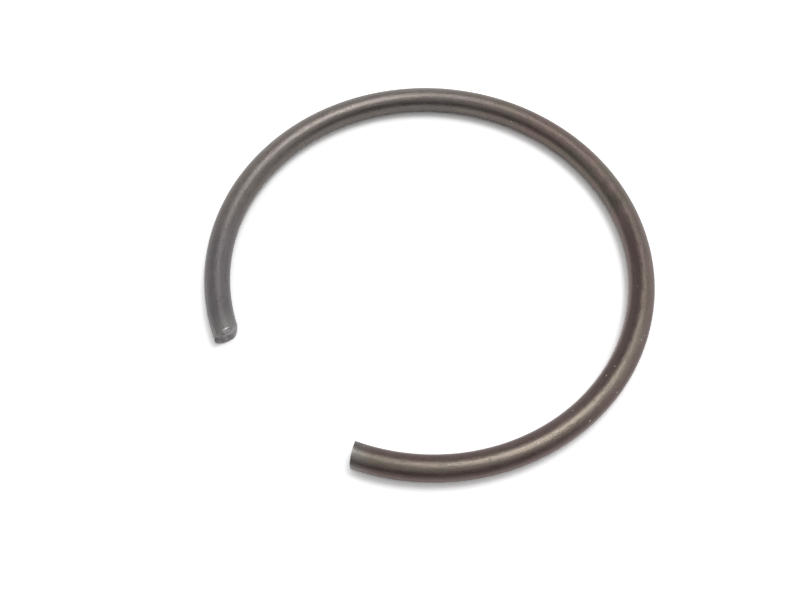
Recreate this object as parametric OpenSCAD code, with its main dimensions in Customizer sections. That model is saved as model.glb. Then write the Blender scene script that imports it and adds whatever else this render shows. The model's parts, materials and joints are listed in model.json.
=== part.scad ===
// Open retaining ring of round spring wire, as it lies free.
// The wire is coiled to one even radius and lies flat. Both ends were cropped
// by one blade, so the two cuts match like the halves of a break. Each has a
// rolled corner where the blade first pressed, a face that it sheared, a face
// where the rest broke away, and a burr on the far side.
// The origin is the ring's centre, halfway through the wire. +Z is the ring's
// axis, and the opening is centred on -Y.

/* [Ring] */
// Outside diameter of the ring
ring_od = 44; // [36:0.5:60]
// Diameter of the spring wire
wire_d = 2.5; // [2:0.1:3.5]
// Opening between the ends, straight across from one centre line to the other
end_gap = 16.9; // [8:0.1:24]

/* [Cropped ends] */
// Angle by which the sheared face leans off square to the wire
shear_lean = 8; // [4:0.5:12]
// Depth that the blade sheared before the rest of the wire broke
shear_depth = 1.5; // [0.9:0.05:1.7]
// Angle by which the broken face leans off square to the wire
break_lean = 6; // [0:0.5:8]
// Height of the burr above the broken face
burr_h = 0.12; // [0.05:0.01:0.3]
// Thickness of the burr at its root
burr_w = 0.3; // [0.1:0.01:0.4]
// Radius of the rolled corner at the end that was pressed from inside the ring
inner_roll_r = 1; // [0.3:0.05:1.1]
// Radius of the rolled corner at the end that was pressed from outside the ring
outer_roll_r = 0.3; // [0.2:0.05:1.1]

/* [Hidden] */
$fn = 128;

// Angle at which a rolled corner meets the wire's side and the sheared face
roll_crease = 10;

wire_r = wire_d / 2;
mean_r = ring_od / 2 - wire_r;

// Where the opening is, as angles round the ring
gap_centre = 270;
half_gap = asin(end_gap / 2 / mean_r);
inner_pressed_end = gap_centre - half_gap;
outer_pressed_end = gap_centre + half_gap;

// Wire coiled on past each end, for the cuts to take off
spare = wire_d / mean_r * 180 / PI;

// How far the cutting shapes reach on each side of the wire's centre line
reach = wire_d;

// A cut is drawn across the wire. x runs from the side that the blade pressed
// to the far side, and y runs along the wire, into the opening
ridge_x = shear_depth - wire_r;
ridge_y = ridge_x * tan(shear_lean);
burr_x = wire_r - burr_w;
burr_y = ridge_y + (burr_x - ridge_x) * tan(break_lean);
burr_slope = tan(break_lean) + burr_h / burr_w;

// Wire coiled past both ends of the opening
module coiled_wire() {
    rotate_extrude(angle = 360 - 2 * half_gap + 2 * spare, start = outer_pressed_end - spare)
        translate([mean_r, 0])
            circle(d = wire_d);
}

// All that lies beyond the sheared face, the broken face and the burr
module beyond_faces() {
    linear_extrude(height = 2 * reach, center = true)
        polygon([
            [-reach, -reach * tan(shear_lean)],
            [ridge_x, ridge_y],
            [burr_x, burr_y],
            [reach, burr_y + (reach - burr_x) * burr_slope],
            [reach, 3 * reach],
            [-reach, 3 * reach]
        ]);
}

// What a sharp corner has and the rolled one lacks. The roll ends on the
// sheared face at end_x, end_y, and the wire's side curves off by side_sag
// over the length of the roll
module beyond_roll(roll_r) {
    side_sag = roll_r * roll_r / 2 / (mean_r - wire_r);
    centre_x = roll_r * cos(roll_crease) - wire_r - side_sag;
    end_x = centre_x - roll_r * sin(shear_lean + roll_crease);
    end_y = end_x * tan(shear_lean);
    centre_y = end_y - roll_r * cos(shear_lean + roll_crease);
    difference() {
        translate([-reach, centre_y, -reach])
            cube([centre_x + reach, 2 * reach, 2 * reach]);
        translate([centre_x, centre_y, 0])
            cylinder(h = 3 * reach, r = roll_r, center = true);
    }
}

// One cut, at an angle round the ring
module crop(angle, roll_r, pressed_from_outside) {
    rotate([0, 0, angle])
        translate([mean_r, 0, 0])
            rotate([0, 0, pressed_from_outside ? 180 : 0]) {
                beyond_faces();
                beyond_roll(roll_r);
            }
}

module retaining_ring() {
    color([0.42, 0.39, 0.37])
        difference() {
            coiled_wire();
            crop(inner_pressed_end, inner_roll_r, false);
            crop(outer_pressed_end, outer_roll_r, true);
        }
}

retaining_ring();
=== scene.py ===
"""An open retaining ring of round spring wire, lying on a white table."""

import json
from math import asin, atan2, cos, hypot, pi, radians, sin, sqrt, tan

import bmesh
import bpy
from bpy.props import (
    FloatProperty,
    FloatVectorProperty,
    IntProperty,
    PointerProperty,
)
from mathutils import Matrix, Vector, noise


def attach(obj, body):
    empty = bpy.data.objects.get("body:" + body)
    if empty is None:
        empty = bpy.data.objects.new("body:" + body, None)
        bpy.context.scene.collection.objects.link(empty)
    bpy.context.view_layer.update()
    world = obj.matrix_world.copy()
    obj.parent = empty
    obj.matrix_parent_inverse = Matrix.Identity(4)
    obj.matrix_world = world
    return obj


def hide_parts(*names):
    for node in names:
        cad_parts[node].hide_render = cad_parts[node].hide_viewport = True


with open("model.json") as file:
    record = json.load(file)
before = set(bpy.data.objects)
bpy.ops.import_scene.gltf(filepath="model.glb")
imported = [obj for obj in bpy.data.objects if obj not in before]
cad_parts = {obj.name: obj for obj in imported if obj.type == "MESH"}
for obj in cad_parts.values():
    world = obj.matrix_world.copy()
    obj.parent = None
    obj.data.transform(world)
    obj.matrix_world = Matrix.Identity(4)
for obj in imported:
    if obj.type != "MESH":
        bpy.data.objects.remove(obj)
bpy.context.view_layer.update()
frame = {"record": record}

bl_info = {
    "name": "Wire retaining ring",
    "version": (1, 0, 0),
    "blender": (4, 5, 0),
    "location": "View3D > Sidebar > Retaining Ring",
    "description": "Makes an open ring of drawn spring wire with cropped ends, and its table",
    "category": "Object",
}

MM = 0.001

# The groove mount gives the ring's own outside radius and its thickness
GROOVE = next(m for m in frame["record"]["mounts"] if m["name"] == "housing_groove")
RING_OD = 2 * GROOVE["dims"]["r_mm"] * MM
WIRE_D = GROOVE["dims"]["length_mm"] * MM

# The stretch of wire beside each cut that has finer steps, and is moved to meet the cut
END_ZONE = 3.0 * MM
END_STEPS = 30
SWEEP_STEPS = 340

# The rings that round a cut's edge and close its face, which lie closer together at the edge
EDGE_TURNS = [radians(a) for a in (30, 60, 90)]
FACE_RINGS = 26
FACE_CROWDING = 1.15
CUT_SLOT = 1

# Relief of the cuts, as lumps takes it: the torn grain, which comes in over a short way past
# the ridge, and a slower swell on both faces. Both come in over a share of the way in from the
# rim, by the square of the radius
TORN_GRAIN, TORN_RIM = (3.0, 0.8, 2.0, 4), 0.25
SWELL, SWELL_RIM = (1.1, 0.8, 2.0, 2), 0.5
SWELL_SHARE = 0.35
TEAR_STARTS = 0.2 * MM

# Steps that bring a cut drawn on a flat to the wire, which bends
BEND_STEPS = 4
TABLE_SIDES = 64

# Textures: cells to a millimetre on each axis, then the noise's detail and roughness
WIRE_TEXTURES = {
    "patches": ((0.35, 0.6, 0.6), (4.0, 0.6)),
    "cloud": ((0.8, 1.3, 1.3), (4.0, 0.6)),
    "lines": ((0.4, 8.0, 8.0), (3.0, 0.6)),
    "scratches": ((1.0, 22.0, 22.0), (2.0, 0.55)),
    "grain": ((7.0, 8.5, 8.5), (3.0, 0.7)),
}
CUT_TEXTURES = {
    "wander": ((1.2, 1.2, 1.2), (2.0, 0.5)),
    "strokes": ((1.0, 1.0, 16.0), (3.0, 0.6)),
    "grain": ((8.0, 8.0, 8.0), (4.0, 0.7)),
    "stain": ((1.6, 1.6, 1.6), (3.0, 0.6)),
}
RUB_SPOTS = (1.5, 0.0, 1.5), (2.0, 0.5)

# Specks: cells to a millimetre, then the share of cells with a speck and its radius in cells.
# A speck is full within this share of its radius
WIRE_SPECKS = {
    "chips": ((1.6, 2.4, 2.4), (0.05, 0.16)),
    "pits": ((2.6, 3.6, 3.6), (0.12, 0.16)),
}
SPECK_CORE = 0.4

# How much each texture adds to the shade, the roughness and the relief. The oxide's colours are
# written for a shade of about 1, and noise is about 0.5, so a tenth comes off the roughness first
WIRE_DARKEST = 0.14
WIRE_SHADE = {"cloud": 0.36, "lines": 0.42, "scratches": 0.20, "grain": 0.76, "pits": -0.25}
WIRE_SMOOTHEST = -0.10
WIRE_ROUGHNESS = {"cloud": 0.12, "lines": 0.08, "bright": -0.08}
WIRE_RELIEF = {"lines": 0.50, "scratches": 0.30, "grain": 0.55, "pits": -0.6}
WIRE_RELIEF_MM = 0.03
CUT_DARKEST = 0.55
CUT_SHADE = {"mottle": 0.85}
CUT_ROUGHNESS = {"stain": 0.10}
STROKE_RELIEF = 0.5
GRAIN_RELIEF = 1.8
CUT_RELIEF_MM = 0.05

# Marks that come in where a texture reaches a level
OLIVE_PATCHES = 0.36, 0.64
STAINS = 0.36, 0.66

# Marks that come in over a distance in millimetres: behind the cut, past the ridge, and from the
# rim. Each is made uneven by this share of a texture
WORN_EDGE, WORN_UNEVEN = (0.16, 0.30), 0.20
THINNED_OXIDE, THINNED_UNEVEN = (0.3, 3.2), 1.2
THINNED_SHARE = 0.75
BREAK_STARTS, BREAK_UNEVEN = (0.10, 0.24), 0.35
RIM_RUB, RIM_UNEVEN = (-0.06, 0.02), 0.10

# Steel is rubbed where its height in millimetres, squared, and these spots come to enough
RUB_RISE, RUB_UNEVEN = (1.98, 2.22), 1.2

# Where the colour changes along the wire, in millimetres from the wire's middle, at the back,
# towards the +X end, and by how much. Patches shift these places to and fro
# Painted shade: dark reflections painted inside the ring and low down outside it, over the +X half
DARK_INNER = 5.0, 13.0
DARK_INNER_EASES, DARK_INNER_EASING = (27.0, 36.0), 0.3
DARK_LOW, DARK_LOW_SHARE = (6.0, 16.0), 0.60
DARK_LOW_DEEPENS, DARK_LOW_DEEPENING = (32.0, 44.0), 0.3
# Painted highlight: paler colour outside the ring over the -X half, and along the crest over part
# of the +X half
PALE_OUTSIDE, PALE_OUTSIDE_SHARE = ((-48.0, -30.0), (-15.0, -3.0)), 1.2
PALE_CREST, PALE_CREST_SHARE = ((22.0, 29.0), (38.0, 46.0)), 0.9
# The olive along the crest over the +X half is a painted highlight colour
OLIVE_CREST, OLIVE_CREST_SHARE = (12.0, 22.0), 0.85
OLIVE_ALL = -18.0, -4.0
SLATE_FAINT, SLATE_FAINT_SHARE = (-16.0, -2.0), 0.40
SLATE_END, SLATE_END_SHARE = (-54.0, -38.0), 0.60
PATCH_SHIFT = 16.0

# Where it changes across the wire, in millimetres out from the centre line, or up
# INNER_ and LOW_ place the painted shade, OUTER_ the painted highlight, and CREST the olive painted
# highlight colour
INNER_EDGE, INNER_LIMIT, INNER_UNEVEN = (-1.2, -0.95), (-0.2, 0.3), 0.4
LOW_OUTER, LOW_OUTER_RIM, LOW_RIM_EASING = (0.74, 1.02), (1.10, 1.22), 0.7
OUTER_HALF = -0.35, 0.30
CREST = (-0.45, 0.0), (0.5, 0.85)
OUTER_CREST = (-0.1, 0.35), (0.50, 0.75)
UPPER_HALF = -0.2, 0.2

# Where the room's light changes. Tops are sines of the angle above the table. Sides are cosines
# of the angle off the dimmer side, and the ceiling's is off its lightest part
DIM_SIDE = -0.12, 0.62
DIM_TOP = 0.46, 0.90
FAR_SIDE = -0.80, 0.20
WALL_TOP = 0.0, 0.75
CEILING = 0.35, 1.0

# The width of the camera's sensor in millimetres, and how near and how far it sees in metres
SENSOR_WIDTH = 36.0
CAMERA_REACH = 0.001, 10.0


class RingSizes(bpy.types.PropertyGroup):
    """Sizes of the ring and of its two cropped ends"""

    ring_od: FloatProperty(
        name="Outside diameter",
        description="Outside diameter of the ring as it lies free",
        default=RING_OD,
        unit="LENGTH",
    )
    wire_d: FloatProperty(
        name="Wire",
        description="Diameter of the spring wire",
        default=WIRE_D,
        unit="LENGTH",
    )
    end_gap: FloatProperty(
        name="End gap",
        description="Opening between the ends, from one centre line to the other",
        default=16.9 * MM,
        unit="LENGTH",
    )
    shear_lean: FloatProperty(
        name="Shear lean",
        description="Angle by which the sheared face leans off square to the wire",
        default=radians(8),
        subtype="ANGLE",
    )
    shear_depth: FloatProperty(
        name="Shear depth",
        description="Depth that the blade sheared before the rest of the wire broke",
        default=1.5 * MM,
        unit="LENGTH",
    )
    break_lean: FloatProperty(
        name="Break lean",
        description="Angle by which the broken face leans off square to the wire",
        default=radians(6),
        subtype="ANGLE",
    )
    burr_h: FloatProperty(
        name="Burr height",
        description="Height of the burr above the broken face",
        default=0.12 * MM,
        unit="LENGTH",
    )
    burr_w: FloatProperty(
        name="Burr width",
        description="Thickness of the burr at its root",
        default=0.3 * MM,
        unit="LENGTH",
    )
    inner_roll_r: FloatProperty(
        name="Inner roll",
        description="Radius of the rolled corner at the end pressed from inside the ring",
        default=1.0 * MM,
        unit="LENGTH",
    )
    outer_roll_r: FloatProperty(
        name="Outer roll",
        description="Radius of the rolled corner at the end pressed from outside the ring",
        default=0.3 * MM,
        unit="LENGTH",
    )
    roll_crease: FloatProperty(
        name="Roll crease",
        description="Angle at which a rolled corner meets the wire's side",
        default=radians(10),
        subtype="ANGLE",
    )
    edge_r: FloatProperty(
        name="Edge",
        description="Radius to which handling has worn the edge round each cut",
        default=0.05 * MM,
        unit="LENGTH",
    )
    break_relief: FloatProperty(
        name="Break relief",
        description="How far the torn grain stands off the broken face",
        default=0.05 * MM,
        unit="LENGTH",
    )
    sides: IntProperty(
        name="Sides",
        description="Flats round the wire's section",
        default=96,
    )


class SteelFinish(bpy.types.PropertyGroup):
    """Colours and finish of the spring steel"""

    brown: FloatVectorProperty(
        name="Brown",
        description="Brown of the oxide at the back, and beside the crest over the +X half",
        default=(0.187, 0.137, 0.128),
        subtype="COLOR",
        size=3,
    )
    # Over the -X half and in patches this is the oxide's own olive; along the crest over the +X
    # half it is a painted highlight colour
    olive: FloatVectorProperty(
        name="Olive",
        description="Olive of the oxide over the -X half, and along the crest over the +X half",
        default=(0.163, 0.141, 0.117),
        subtype="COLOR",
        size=3,
    )
    slate: FloatVectorProperty(
        name="Slate",
        description="Bluish grey of the oxide towards the -X end, and of stains on the cuts",
        default=(0.160, 0.148, 0.155),
        subtype="COLOR",
        size=3,
    )
    thin: FloatVectorProperty(
        name="Thin oxide",
        description="Paler grey of the oxide that the cropping tool rubbed thin beside each cut",
        default=(0.245, 0.238, 0.222),
        subtype="COLOR",
        size=3,
    )
    cut: FloatVectorProperty(
        name="Cut steel",
        description="Dulled steel of the cut faces",
        default=(0.33, 0.315, 0.315),
        subtype="COLOR",
        size=3,
    )
    bare: FloatVectorProperty(
        name="Bare steel",
        description="Bright steel of worn edges, and of small chips in the oxide",
        default=(0.58, 0.56, 0.53),
        subtype="COLOR",
        size=3,
    )
    # Painted shade: how far the colour is darkened inside the ring and low down outside it, over
    # the +X half
    darker: FloatProperty(
        name="Darker sides",
        description="How much darker the oxide is inside the ring over the +X half",
        default=0.44,
        min=0.0,
        max=1.0,
        subtype="FACTOR",
    )
    # Painted highlight: how far the colour is lightened outside the ring over the -X half, and
    # along the crest over part of the +X half
    paler: FloatProperty(
        name="Paler sides",
        description="How much paler the oxide is outside the ring over the -X half",
        default=0.25,
        min=0.0,
        max=1.0,
        subtype="FACTOR",
    )
    wire_rough: FloatProperty(
        name="Wire roughness",
        description="Roughness of the drawn wire",
        default=0.29,
        min=0.0,
        max=1.0,
        subtype="FACTOR",
    )
    shear_rough: FloatProperty(
        name="Shear roughness",
        description="Roughness of the sheared faces",
        default=0.30,
        min=0.0,
        max=1.0,
        subtype="FACTOR",
    )
    break_rough: FloatProperty(
        name="Break roughness",
        description="Roughness of the broken faces",
        default=0.55,
        min=0.0,
        max=1.0,
        subtype="FACTOR",
    )


class TableSetting(bpy.types.PropertyGroup):
    """The table, the light and the camera"""

    camera_turn: FloatProperty(
        name="Camera turn",
        description="How far round the ring the camera stands, from the front",
        default=radians(42.95),
        subtype="ANGLE",
    )
    camera_pitch: FloatProperty(
        name="Camera pitch",
        description="How steeply the camera looks down",
        default=radians(61.63),
        subtype="ANGLE",
    )
    camera_roll: FloatProperty(
        name="Camera roll",
        description="How far the camera is rolled",
        default=radians(1.44),
        subtype="ANGLE",
    )
    camera_distance: FloatProperty(
        name="Camera distance",
        description="From the camera to the point on the table that it looks at",
        default=102.47 * MM,
        unit="LENGTH",
    )
    aim: FloatVectorProperty(
        name="Aim",
        description="How far right of the ring's centre the camera looks, and how far beyond it",
        default=(-2.82 * MM, -3.15 * MM),
        subtype="TRANSLATION",
        unit="LENGTH",
        size=2,
    )
    lens: FloatProperty(
        name="Lens",
        description="Focal length of the camera, in millimetres",
        default=47.14,
    )
    table_d: FloatProperty(
        name="Table",
        description="Diameter of the round table",
        default=3.0,
        unit="LENGTH",
    )
    table_white: FloatVectorProperty(
        name="Table white",
        description="Colour of the table",
        default=(0.90, 0.90, 0.90),
        subtype="COLOR",
        size=3,
    )
    table_lift: FloatProperty(
        name="Table lift",
        description="How much whiter the table shows than it is, as in a bright photograph",
        default=0.60,
    )
    mirrored_lift: FloatProperty(
        name="Mirrored lift",
        description="The share of the table's lift that shows in the steel",
        default=0.35,
        min=0.0,
        max=1.0,
        subtype="FACTOR",
    )
    room_glow: FloatProperty(
        name="Room glow",
        description="Brightness of the room, before what its walls and ceiling add",
        default=0.672,
    )
    dim_glow: FloatProperty(
        name="Dim glow",
        description="Brightness of the dimmer side of the room",
        default=0.232,
    )
    dim_turn: FloatProperty(
        name="Dim turn",
        description="How far round the ring the dimmer side of the room is, from the front",
        default=radians(31),
        subtype="ANGLE",
    )
    wall_glow: FloatProperty(
        name="Wall glow",
        description="Brightness that the walls add, most of it low down",
        default=0.08,
    )
    far_glow: FloatProperty(
        name="Far glow",
        description="Brightness that the walls opposite the dimmer side add, over the others",
        default=0.32,
    )
    ceiling_glow: FloatProperty(
        name="Ceiling glow",
        description="Brightness that the ceiling adds where it is lightest",
        default=0.232,
    )
    glow_tilt: FloatProperty(
        name="Glow tilt",
        description="How far the lightest part of the ceiling is from straight overhead",
        default=radians(23.8),
        subtype="ANGLE",
    )
    glow_turn: FloatProperty(
        name="Glow turn",
        description="How far round the ring the lightest part of the ceiling is, from the back",
        default=radians(-54.2),
        subtype="ANGLE",
    )
    lamp_power: FloatProperty(
        name="Lamp power",
        description="Power of the soft lamp overhead",
        default=0.60,
        unit="POWER",
    )
    lamp_d: FloatProperty(
        name="Lamp diameter",
        description="Diameter of the soft lamp overhead",
        default=0.20,
        unit="LENGTH",
    )
    lamp_distance: FloatProperty(
        name="Lamp distance",
        description="Distance of the soft lamp from the ring",
        default=0.5,
        unit="LENGTH",
    )
    lamp_tilt: FloatProperty(
        name="Lamp tilt",
        description="How far the lamp leans from straight overhead",
        default=radians(15.4),
        subtype="ANGLE",
    )
    lamp_turn: FloatProperty(
        name="Lamp turn",
        description="How far round the ring the lamp leans, from the back",
        default=radians(-12.8),
        subtype="ANGLE",
    )


class Signal:
    """A socket in a node tree. Sums of signals and numbers add their Math nodes"""

    def __init__(self, tree, socket=None):
        self.tree = tree
        self.socket = socket

    def node(self, kind, settings=None, sockets=None):
        """A new node. Its settings are set first, then the values or links of its sockets"""
        made = self.tree.nodes.new(kind)
        for name, value in (settings or {}).items():
            setattr(made, name, value)
        for key, value in (sockets or {}).items():
            socket = pick(made.inputs, key)
            if isinstance(value, Signal):
                self.tree.links.new(value.socket, socket)
            else:
                socket.default_value = value
        return made

    def get(self, kind, settings=None, sockets=None, out=0):
        """One output of a new node"""
        return Signal(self.tree, pick(self.node(kind, settings, sockets).outputs, out))

    def math(self, operation, first, second):
        return self.get("ShaderNodeMath", {"operation": operation}, {0: first, 1: second})

    def __add__(self, other):
        return self.math("ADD", self, other)

    def __radd__(self, other):
        return self.math("ADD", other, self)

    def __sub__(self, other):
        return self.math("SUBTRACT", self, other)

    def __rsub__(self, other):
        return self.math("SUBTRACT", other, self)

    def __mul__(self, other):
        return self.math("MULTIPLY", self, other)

    def __rmul__(self, other):
        return self.math("MULTIPLY", other, self)

    def toward(self, other, share):
        """This value, moved a share of the way to another"""
        return self + share * (other - self)

    def rise(self, low, high):
        """0 up to low, 1 from high, and smooth between"""
        sockets = {"Value": self, "From Min": low, "From Max": high}
        return self.get("ShaderNodeMapRange", {"interpolation_type": "SMOOTHSTEP"}, sockets)

    def between(self, rising, falling):
        """Goes from 0 to 1 over the first pair of values, and back to 0 over the second"""
        return self.rise(*rising) * (1 - self.rise(*falling))

    def blend(self, first, second):
        """The first colour where this is 0, the second where it is 1"""
        sockets = {"Factor_Float": self, "A_Color": first, "B_Color": second}
        return self.get("ShaderNodeMix", {"data_type": "RGBA"}, sockets, "Result_Color")

    def vector(self, operation, sockets=None, out=0):
        """This colour or vector through one Vector Math node"""
        given = {0: self, **(sockets or {})}
        return self.get("ShaderNodeVectorMath", {"operation": operation}, given, out)

    def scaled(self, factor):
        """This colour or vector times a number or a signal"""
        return self.vector("SCALE", {"Scale": factor})

    def stretched(self, *factors):
        """This vector times another, axis by axis"""
        return self.vector("MULTIPLY", {1: factors})

    def facing(self, way):
        """How nearly this direction points a given way, from -1 to 1"""
        return self.vector("DOT_PRODUCT", {1: way}, "Value")

    def axis(self, name):
        return self.get("ShaderNodeSeparateXYZ", {}, {0: self}, name)

    def noise(self, detail, rough):
        """Noise of about 0.5, in cells one unit across"""
        sockets = {"Vector": self, "Scale": 1.0, "Detail": detail, "Roughness": rough}
        return self.get("ShaderNodeTexNoise", {}, sockets)

    def specks(self, share, radius):
        """1 in small spots in this share of the cells one unit across, 0 elsewhere"""
        cells = self.node("ShaderNodeTexVoronoi", {}, {"Vector": self, "Scale": 1.0})
        away = Signal(self.tree, cells.outputs["Distance"])
        lot = Signal(self.tree, cells.outputs["Color"]).axis("X")
        return (1 - away.rise(SPECK_CORE * radius, radius)) * lot.rise(1 - share, 1.001 - share)

    def chart(self, name):
        """The places that chart_ring wrote on the mesh under this name, in millimetres"""
        return self.get("ShaderNodeAttribute", {"attribute_name": name}, out="Vector")

    def rays(self, kind):
        """1 for rays of this kind, 0 for the others"""
        return self.get("ShaderNodeLightPath", out=f"Is {kind} Ray")


def pick(sockets, key):
    """A socket by its number, identifier or name"""
    if isinstance(key, int):
        return sockets[key]
    return next((s for s in sockets if s.identifier == key), None) or sockets[key]


def new_material(name):
    """A material with no nodes, and a signal with no socket that adds nodes to it"""
    material = bpy.data.materials.new(name)
    material.use_nodes = True
    material.node_tree.nodes.clear()
    return material, Signal(material.node_tree)


def show(start, shader, kind="ShaderNodeOutputMaterial"):
    """Joins a shader to a new output node"""
    start.node(kind, {}, {"Surface": Signal(start.tree, shader.outputs[0])})


def show_steel(start, colour, roughness, relief, relief_mm):
    """Shows steel with this colour, roughness and relief"""
    sockets = {"Strength": 1.0, "Distance": relief_mm * MM, "Height": relief}
    bump = start.get("ShaderNodeBump", {}, sockets)
    sockets = {"Base Color": colour, "Metallic": 1.0, "Roughness": roughness, "Normal": bump}
    show(start, start.node("ShaderNodeBsdfPrincipled", {}, sockets))


def rgba(colour):
    return (*colour, 1.0)


def textures(place, table):
    """The noise of each texture in a table"""
    return {name: place.stretched(*cells).noise(*kind) for name, (cells, kind) in table.items()}


def layered(level, shares, marks):
    """A level, plus the share of each mark that is named"""
    for name, share in shares.items():
        level = level + share * marks[name]
    return level


def rubbed(on_cut):
    """1 on the parts of a cut's edge that stand out above and below, and rub bright"""
    high = on_cut.axis("Z")
    cells, kind = RUB_SPOTS
    spots = on_cut.stretched(*cells).noise(*kind)
    return (high * high + RUB_UNEVEN * spots).rise(*RUB_RISE)


def painted_shade(length, out, upper, cloud):
    """Painted shade over the +X half: how much darker the colour is made by dark reflections
    painted inside the ring, and low down outside it
    """
    inner = out.rise(*INNER_EDGE) * (1 - (out + INNER_UNEVEN * cloud).rise(*INNER_LIMIT)) * upper
    eases = 1.0 - DARK_INNER_EASING * length.rise(*DARK_INNER_EASES)
    low = out.rise(*LOW_OUTER) * (1 - LOW_RIM_EASING * out.rise(*LOW_OUTER_RIM))
    deepens = DARK_LOW_DEEPENING * length.rise(*DARK_LOW_DEEPENS)
    along_low = DARK_LOW_SHARE * length.rise(*DARK_LOW) + deepens
    return inner * length.rise(*DARK_INNER) * eases + low * along_low


def painted_highlight(length, out, upper):
    """Painted highlight: how much paler the colour is made outside the ring over the -X half, and
    along the crest over part of the +X half"""
    outside = out.rise(*OUTER_HALF) * length.between(*PALE_OUTSIDE)
    crest = out.between(*OUTER_CREST) * upper * length.between(*PALE_CREST)
    return PALE_OUTSIDE_SHARE * outside + PALE_CREST_SHARE * crest


def oxide_colour(finish, length, crest, patches):
    """Brown with olive patches at the back, then olive along the crest towards the +X end, where it
    is a painted highlight colour. It is olive all over towards the -X end, and more and more bluish"""
    greener = patches.rise(*OLIVE_PATCHES)
    greener = greener.toward(crest, OLIVE_CREST_SHARE * length.rise(*OLIVE_CREST))
    greener = greener.toward(1, 1 - length.rise(*OLIVE_ALL))
    bluer = SLATE_FAINT_SHARE * (1 - length.rise(*SLATE_FAINT))
    bluer = bluer + SLATE_END_SHARE * (1 - length.rise(*SLATE_END))
    oxide = greener.blend(rgba(finish.brown), rgba(finish.olive))
    return bluer.blend(oxide, rgba(finish.slate))


def drawn_wire(finish):
    """Drawn wire under a thin dull oxide, with lines along it from the die, and small chips, and
    painted shade and painted highlight in its colour
    """
    material, start = new_material("drawn_wire")
    place, near_cut = start.chart("along_wire"), start.chart("on_cut")
    along, out, high = (place.axis(name) for name in "XYZ")
    from_cut = near_cut.axis("Y")

    marks = textures(place, WIRE_TEXTURES)
    for name, (cells, kind) in WIRE_SPECKS.items():
        marks[name] = place.stretched(*cells).specks(*kind)
    cloud, patches, chips = marks["cloud"], marks["patches"], marks["chips"]
    worn = (1 - (from_cut + WORN_UNEVEN * cloud).rise(*WORN_EDGE)) * rubbed(near_cut)
    thinned = 1 - (from_cut + THINNED_UNEVEN * cloud).rise(*THINNED_OXIDE)
    marks["bright"] = chips + worn - chips * worn

    length = along + PATCH_SHIFT * (patches - 0.5)
    upper = high.rise(*UPPER_HALF)
    crest = out.between(*CREST) * upper
    oxide = oxide_colour(finish, length, crest, patches)
    oxide = (THINNED_SHARE * thinned).blend(oxide, rgba(finish.thin))

    shade = layered(WIRE_DARKEST, WIRE_SHADE, marks)
    # Painted shade darkens the colour here, and painted highlight lightens it
    shade = shade * (1 - finish.darker * painted_shade(length, out, upper, cloud))
    shade = shade * (1 + finish.paler * painted_highlight(length, out, upper))
    colour = marks["bright"].blend(oxide.scaled(shade), rgba(finish.bare))
    roughness = layered(finish.wire_rough + WIRE_SMOOTHEST, WIRE_ROUGHNESS, marks)
    relief = layered(0.0, WIRE_RELIEF, marks)
    show_steel(start, colour, roughness, relief, WIRE_RELIEF_MM)
    return material


def cut_steel(finish, ridge_mm, wire_mm):
    """Bare steel of a cut: burnished in lines where the blade passed, and grainy where it broke"""
    material, start = new_material("cut_steel")
    place = start.chart("on_cut")
    marks = textures(place, CUT_TEXTURES)
    strokes, grain, stain = marks["strokes"], marks["grain"], marks["stain"]

    across = place.axis("X") + BREAK_UNEVEN * marks["wander"]
    broken = across.rise(*(ridge_mm + start for start in BREAK_STARTS))
    to_rim = place.stretched(1.0, 0.0, 1.0).vector("LENGTH", out="Value")
    worn = (to_rim + RIM_UNEVEN * strokes).rise(*(wire_mm + edge for edge in RIM_RUB))

    marks["mottle"] = strokes.toward(grain, broken)
    colour = stain.rise(*STAINS).blend(rgba(finish.cut), rgba(finish.slate))
    colour = colour.scaled(layered(CUT_DARKEST, CUT_SHADE, marks))
    colour = (worn * rubbed(place)).blend(colour, rgba(finish.bare))
    roughness = finish.shear_rough + broken * (finish.break_rough - finish.shear_rough)
    roughness = layered(roughness, CUT_ROUGHNESS, marks)
    relief = (STROKE_RELIEF * strokes).toward(GRAIN_RELIEF * grain, broken)
    show_steel(start, colour, roughness, relief, CUT_RELIEF_MM)
    return material


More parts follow.
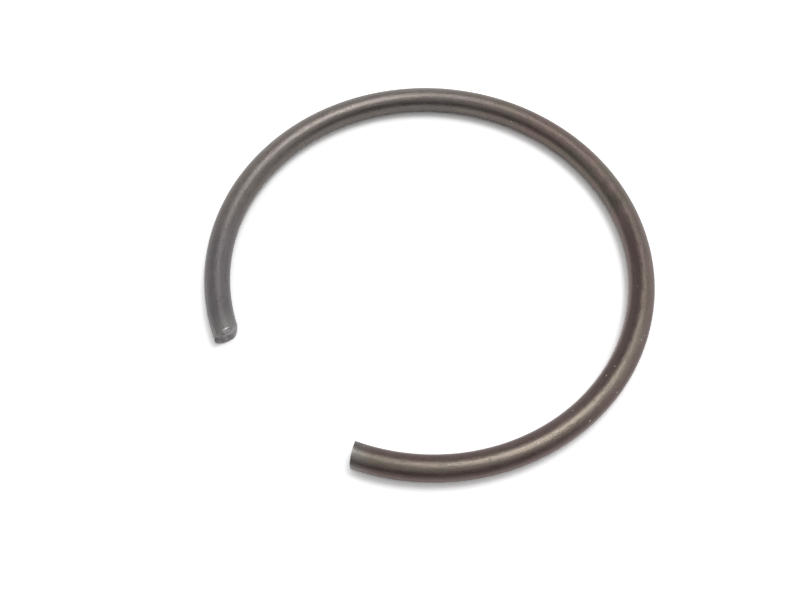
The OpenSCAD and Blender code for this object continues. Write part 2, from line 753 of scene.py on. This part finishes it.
class CutEnd:
    """One cropped end of the wire. x runs from the side that the blade pressed to the far
    side, y along the wire into the opening, and z up"""

    def __init__(self, sizes, from_outside):
        self.sizes = sizes
        self.wire_r = sizes.wire_d / 2
        self.mean_r = sizes.ring_od / 2 - self.wire_r
        self.sense = -1 if from_outside else 1
        self.angle = -pi / 2 - self.sense * asin(sizes.end_gap / 2 / self.mean_r)
        self.roll_r = sizes.outer_roll_r if from_outside else sizes.inner_roll_r

        # The roll meets the sheared face at roll_end_x
        shear, tear = tan(sizes.shear_lean), tan(sizes.break_lean)
        side_sag = self.roll_r**2 / 2 / (self.mean_r - self.wire_r)
        self.roll_x = self.roll_r * cos(sizes.roll_crease) - self.wire_r - side_sag
        roll_turn = sizes.shear_lean + sizes.roll_crease
        roll_end_x = self.roll_x - self.roll_r * sin(roll_turn)
        self.roll_y = roll_end_x * shear - self.roll_r * cos(roll_turn)

        # Where each face starts, how far it reaches there, and its slope
        self.ridge_x = sizes.shear_depth - self.wire_r
        ridge_y = self.ridge_x * shear
        burr_x = self.wire_r - sizes.burr_w
        burr_y = ridge_y + (burr_x - self.ridge_x) * tear
        self.faces = [
            (roll_end_x, roll_end_x * shear, shear),
            (self.ridge_x, ridge_y, tear),
            (burr_x, burr_y, tear + sizes.burr_h / sizes.burr_w),
        ]

    def reach(self, x):
        """How far the wire reaches into the opening at x"""
        for start_x, start_y, slope in reversed(self.faces):
            if x >= start_x:
                return start_y + (x - start_x) * slope
        drop = max(0.0, self.roll_r**2 - (x - self.roll_x) ** 2)
        return self.roll_y + sqrt(drop)

    def surface(self, x, z):
        """The reach of the torn or sheared metal at a point of the cut"""
        out, y = self.mean_r + self.sense * x, 0.0
        for _ in range(BEND_STEPS):
            y = self.reach(self.sense * (sqrt(out * out - y * y) - self.mean_r))
        rim = 1 - (x * x + z * z) / self.wire_r**2
        spot = Vector((x, z, self.sense * self.wire_r)) / MM
        torn = smooth((x - self.ridge_x) / TEAR_STARTS) * smooth(rim / TORN_RIM)
        relief = lumps(spot, *TORN_GRAIN) * torn
        relief += SWELL_SHARE * lumps(spot, *SWELL) * smooth(rim / SWELL_RIM)
        return y + self.sizes.break_relief * relief

    def place(self, x, y, z):
        """The point of the ring at x, y and z"""
        out = self.mean_r + self.sense * x
        turn = self.angle + self.sense * asin(y / out)
        return Vector((out * cos(turn), out * sin(turn), z))

    def read(self, point):
        """x, y and z of a point of the ring"""
        out = hypot(point.x, point.y)
        turn = atan2(point.y, point.x) - self.angle
        return self.sense * (out - self.mean_r), self.sense * out * sin(turn), point.z


def lumps(spot, per_mm, fading, finer, steps):
    """Uneven relief about 0: lumps to a millimetre, how fast finer ones fade, how much finer
    each step is, and how many steps there are"""
    return noise.fractal(spot * per_mm, fading, finer, steps)


def smooth(share):
    """0 up to 0, 1 from 1, and smooth between"""
    share = min(1.0, max(0.0, share))
    return share * share * (3 - 2 * share)


def slow_start(share):
    """Grows from 0 to 1, slowly at first"""
    share = min(1.0, max(0.0, share))
    return share * share


def points_of(made):
    """The points, out of all that an operator gives back"""
    return [thing for thing in made if isinstance(thing, bmesh.types.BMVert)]


def edges_within(loop):
    """The edges between the points of a loop, in the order of the points"""
    known = set(loop)
    edges = dict.fromkeys(edge for vert in loop for edge in vert.link_edges)
    return [edge for edge in edges if known.issuperset(edge.verts)]


def coil(bm, sizes):
    """The wire's section spun round the ring, in finer steps near its ends. Gives both end loops"""
    wire_r = sizes.wire_d / 2
    mean_r = sizes.ring_od / 2 - wire_r
    half_gap = asin(sizes.end_gap / 2 / mean_r)
    across_wire = Matrix.Translation((mean_r, 0, 0)) @ Matrix.Rotation(pi / 2, 4, "X")
    first = bmesh.ops.create_circle(
        bm,
        cap_ends=False,
        radius=wire_r,
        segments=sizes.sides,
        matrix=Matrix.Rotation(half_gap - pi / 2, 4, "Z") @ across_wire,
    )["verts"]
    zone = END_ZONE / mean_r
    sweep = 2 * pi - 2 * half_gap - 2 * zone
    geom = first + edges_within(first)
    for angle, steps in ((zone, END_STEPS), (sweep, SWEEP_STEPS), (zone, END_STEPS)):
        geom = bmesh.ops.spin(
            bm,
            geom=geom,
            axis=(0, 0, 1),
            cent=(0, 0, 0),
            angle=angle,
            steps=steps,
            use_merge=False,
        )["geom_last"]
    return first, points_of(geom)


def crop(bm, end, loop):
    """Moves the wire's last stretch to meet the cut, then closes the cut ring by ring"""
    edge_r = end.sizes.edge_r
    moves = []
    for vert in bm.verts:
        x, y, z = end.read(vert.co)
        if y < -END_ZONE * 1.0001 or (vert.co - end.place(0, 0, 0)).length > 2 * END_ZONE:
            continue
        share = 1 + y / END_ZONE * end.mean_r / (end.mean_r + end.sense * x)
        reach = (end.surface(x, z) - edge_r) * slow_start(share)
        moves.append((vert, end.place(x, y + reach, z)))
    for vert, target in moves:
        vert.co = target

    # A quarter round over the edge, then rings down to the middle
    shares = [1 - edge_r * (1 - cos(turn)) / end.wire_r for turn in EDGE_TURNS]
    drops = [edge_r * (1 - sin(turn)) for turn in EDGE_TURNS]
    face = [1 - (k / FACE_RINGS) ** FACE_CROWDING for k in range(1, FACE_RINGS)]
    shares += [share * shares[-1] for share in face]
    drops += [0.0] * len(face)

    before = 1.0
    for share, drop in zip(shares, drops):
        made = bmesh.ops.extrude_edge_only(bm, edges=edges_within(loop))["geom"]
        loop = points_of(made)
        for vert in loop:
            x, _, z = end.read(vert.co)
            x, z = x * share / before, z * share / before
            vert.co = end.place(x, end.surface(x, z) - drop, z)
            for side in vert.link_faces:
                side.material_index = CUT_SLOT
        before = share
    bmesh.ops.pointmerge(bm, verts=loop, merge_co=end.place(0, end.surface(0, 0), 0))


def chart_ring(bm, sizes, ends):
    """Writes each point's place for the materials, in millimetres. along_wire has the length
    from the wire's middle towards the +X end, the distance out from its centre line, and the
    height. on_cut has x on the nearer cut, the depth behind the cut, and z"""
    along_wire = bm.verts.layers.float_vector.new("along_wire")
    on_cut = bm.verts.layers.float_vector.new("on_cut")
    mean_r = sizes.ring_od / 2 - sizes.wire_d / 2
    for vert in bm.verts:
        from_back = atan2(vert.co.x, vert.co.y)
        out = hypot(vert.co.x, vert.co.y) - mean_r
        vert[along_wire] = Vector((mean_r * from_back, out, vert.co.z)) / MM
        end = ends[0] if vert.co.x < 0 else ends[1]
        x, y, z = end.read(vert.co)
        vert[on_cut] = Vector((x, end.surface(x, z) - y, z)) / MM


class RING_OT_coil_wire(bpy.types.Operator):
    """Coil the spring wire into an open ring and crop its ends"""

    bl_idname = "ring.coil_wire"
    bl_label = "Coil the Wire"

    def execute(self, context):
        sizes, finish = context.scene.ring_sizes, context.scene.ring_finish
        ends = CutEnd(sizes, from_outside=False), CutEnd(sizes, from_outside=True)
        bm = bmesh.new()
        start_loop, last_loop = coil(bm, sizes)
        crop(bm, ends[1], start_loop)
        crop(bm, ends[0], last_loop)
        chart_ring(bm, sizes, ends)
        bmesh.ops.recalc_face_normals(bm, faces=bm.faces)
        for face in bm.faces:
            face.smooth = True
        mesh = bpy.data.meshes.new("spring_wire_ring")
        bm.to_mesh(mesh)
        bm.free()
        mesh.materials.append(drawn_wire(finish))
        mesh.materials.append(cut_steel(finish, ends[0].ridge_x / MM, sizes.wire_d / 2 / MM))
        ring = bpy.data.objects.new("spring_wire_ring", mesh)
        context.collection.objects.link(ring)
        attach(ring, "root")
        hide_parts("retaining_ring")
        return {"FINISHED"}


class RING_OT_set_table(bpy.types.Operator):
    """Set the white table, the soft light and the camera"""

    bl_idname = "ring.set_table"
    bl_label = "Set the Table"

    def execute(self, context):
        table, sizes = context.scene.ring_table, context.scene.ring_sizes
        ground = -sizes.wire_d / 2
        lay_table(context, table, ground)
        light_room(context, table)
        hang_lamp(context, table)
        aim_camera(context, table, ground)
        context.scene.view_settings.view_transform = "Standard"
        return {"FINISHED"}


def lay_table(context, table, ground):
    """A round white table, which shows whiter than it lights the ring and keeps its shadow"""
    bm = bmesh.new()
    bmesh.ops.create_circle(
        bm,
        cap_ends=True,
        radius=table.table_d / 2,
        segments=TABLE_SIDES,
        matrix=Matrix.Translation((0, 0, ground)),
    )
    mesh = bpy.data.meshes.new("white_table")
    bm.to_mesh(mesh)
    bm.free()
    material, start = new_material("table_white")
    seen = start.rays("Camera") + start.rays("Transmission")
    seen = seen + table.mirrored_lift * start.rays("Glossy")
    sockets = {0: table.table_white, "Scale": 1.0 + seen * table.table_lift}
    white = start.get("ShaderNodeVectorMath", {"operation": "SCALE"}, sockets)
    show(start, start.node("ShaderNodeBsdfDiffuse", {}, {"Color": white}))
    mesh.materials.append(material)
    top = bpy.data.objects.new("white_table", mesh)
    context.collection.objects.link(top)


def light_room(context, table):
    """A pale room with one dimmer side, and white where the camera looks past the table"""
    world = bpy.data.worlds.new("pale_room")
    context.scene.world = world
    world.use_nodes = True
    world.node_tree.nodes.clear()
    start = Signal(world.node_tree)
    looking = start.get("ShaderNodeTexCoord", out="Generated")
    height = looking.axis("Z")
    dim_side = Vector((sin(table.dim_turn), -cos(table.dim_turn), 0.0))
    lightest = leaning(table.glow_tilt, table.glow_turn) @ Vector((0, 0, 1))
    side = looking.facing(dim_side)
    far = 1 - side.rise(*FAR_SIDE)
    walls = (1 - height.rise(*WALL_TOP)) * (table.wall_glow + far * table.far_glow)
    ceiling = looking.facing(lightest).rise(*CEILING) * table.ceiling_glow
    dim = side.rise(*DIM_SIDE) * (1 - height.rise(*DIM_TOP))
    level = (table.room_glow + walls + ceiling).toward(table.dim_glow, dim)
    sockets = {"Color": rgba((1.0, 1.0, 1.0)), "Strength": level.toward(1.0, start.rays("Camera"))}
    show(start, start.node("ShaderNodeBackground", {}, sockets), "ShaderNodeOutputWorld")


def leaning(tilt, turn):
    """Tips straight up by the tilt, towards the back, and then turns it round the ring"""
    return Matrix.Rotation(turn, 4, "Z") @ Matrix.Rotation(-tilt, 4, "X")


def hang_lamp(context, table):
    """A soft round lamp, almost straight overhead"""
    lamp = bpy.data.lights.new("overhead_lamp", "AREA")
    lamp.shape = "DISK"
    lamp.size = table.lamp_d
    lamp.energy = table.lamp_power
    holder = bpy.data.objects.new("overhead_lamp", lamp)
    up = Matrix.Translation((0, 0, table.lamp_distance))
    holder.matrix_world = leaning(table.lamp_tilt, table.lamp_turn) @ up
    context.collection.objects.link(holder)


def aim_camera(context, table, ground):
    """The camera, at the height and distance of the picture"""
    camera = bpy.data.cameras.new("camera")
    camera.lens = table.lens
    camera.sensor_width = SENSOR_WIDTH
    camera.clip_start, camera.clip_end = CAMERA_REACH
    holder = bpy.data.objects.new("camera", camera)
    turned = Matrix.Rotation(table.camera_turn, 4, "Z")
    pitched = Matrix.Rotation(pi / 2 - table.camera_pitch, 4, "X")
    aim = turned @ Vector((*table.aim, ground))
    holder.matrix_world = (
        Matrix.Translation(aim)
        @ turned
        @ pitched
        @ Matrix.Translation((0, 0, table.camera_distance))
        @ Matrix.Rotation(table.camera_roll, 4, "Z")
    )
    context.collection.objects.link(holder)
    context.scene.camera = holder


class RING_PT_sidebar(bpy.types.Panel):
    """Lists the ring and its table"""

    bl_idname = "RING_PT_sidebar"
    bl_label = "Retaining Ring"
    bl_space_type = "VIEW_3D"
    bl_region_type = "UI"
    bl_category = "Retaining Ring"

    def draw(self, context):
        for operator in OPERATORS:
            self.layout.operator(operator.bl_idname)


GROUPS = {"ring_sizes": RingSizes, "ring_finish": SteelFinish, "ring_table": TableSetting}
OPERATORS = (RING_OT_coil_wire, RING_OT_set_table)
CLASSES = (*GROUPS.values(), *OPERATORS, RING_PT_sidebar)


def register():
    for cls in CLASSES:
        bpy.utils.register_class(cls)
    for name, group in GROUPS.items():
        setattr(bpy.types.Scene, name, PointerProperty(type=group))


def unregister():
    for name in GROUPS:
        delattr(bpy.types.Scene, name)
    for cls in reversed(CLASSES):
        bpy.utils.unregister_class(cls)


def main():
    register()
    bpy.ops.ring.coil_wire()
    bpy.ops.ring.set_table()


if __name__ == "__main__":
    main()
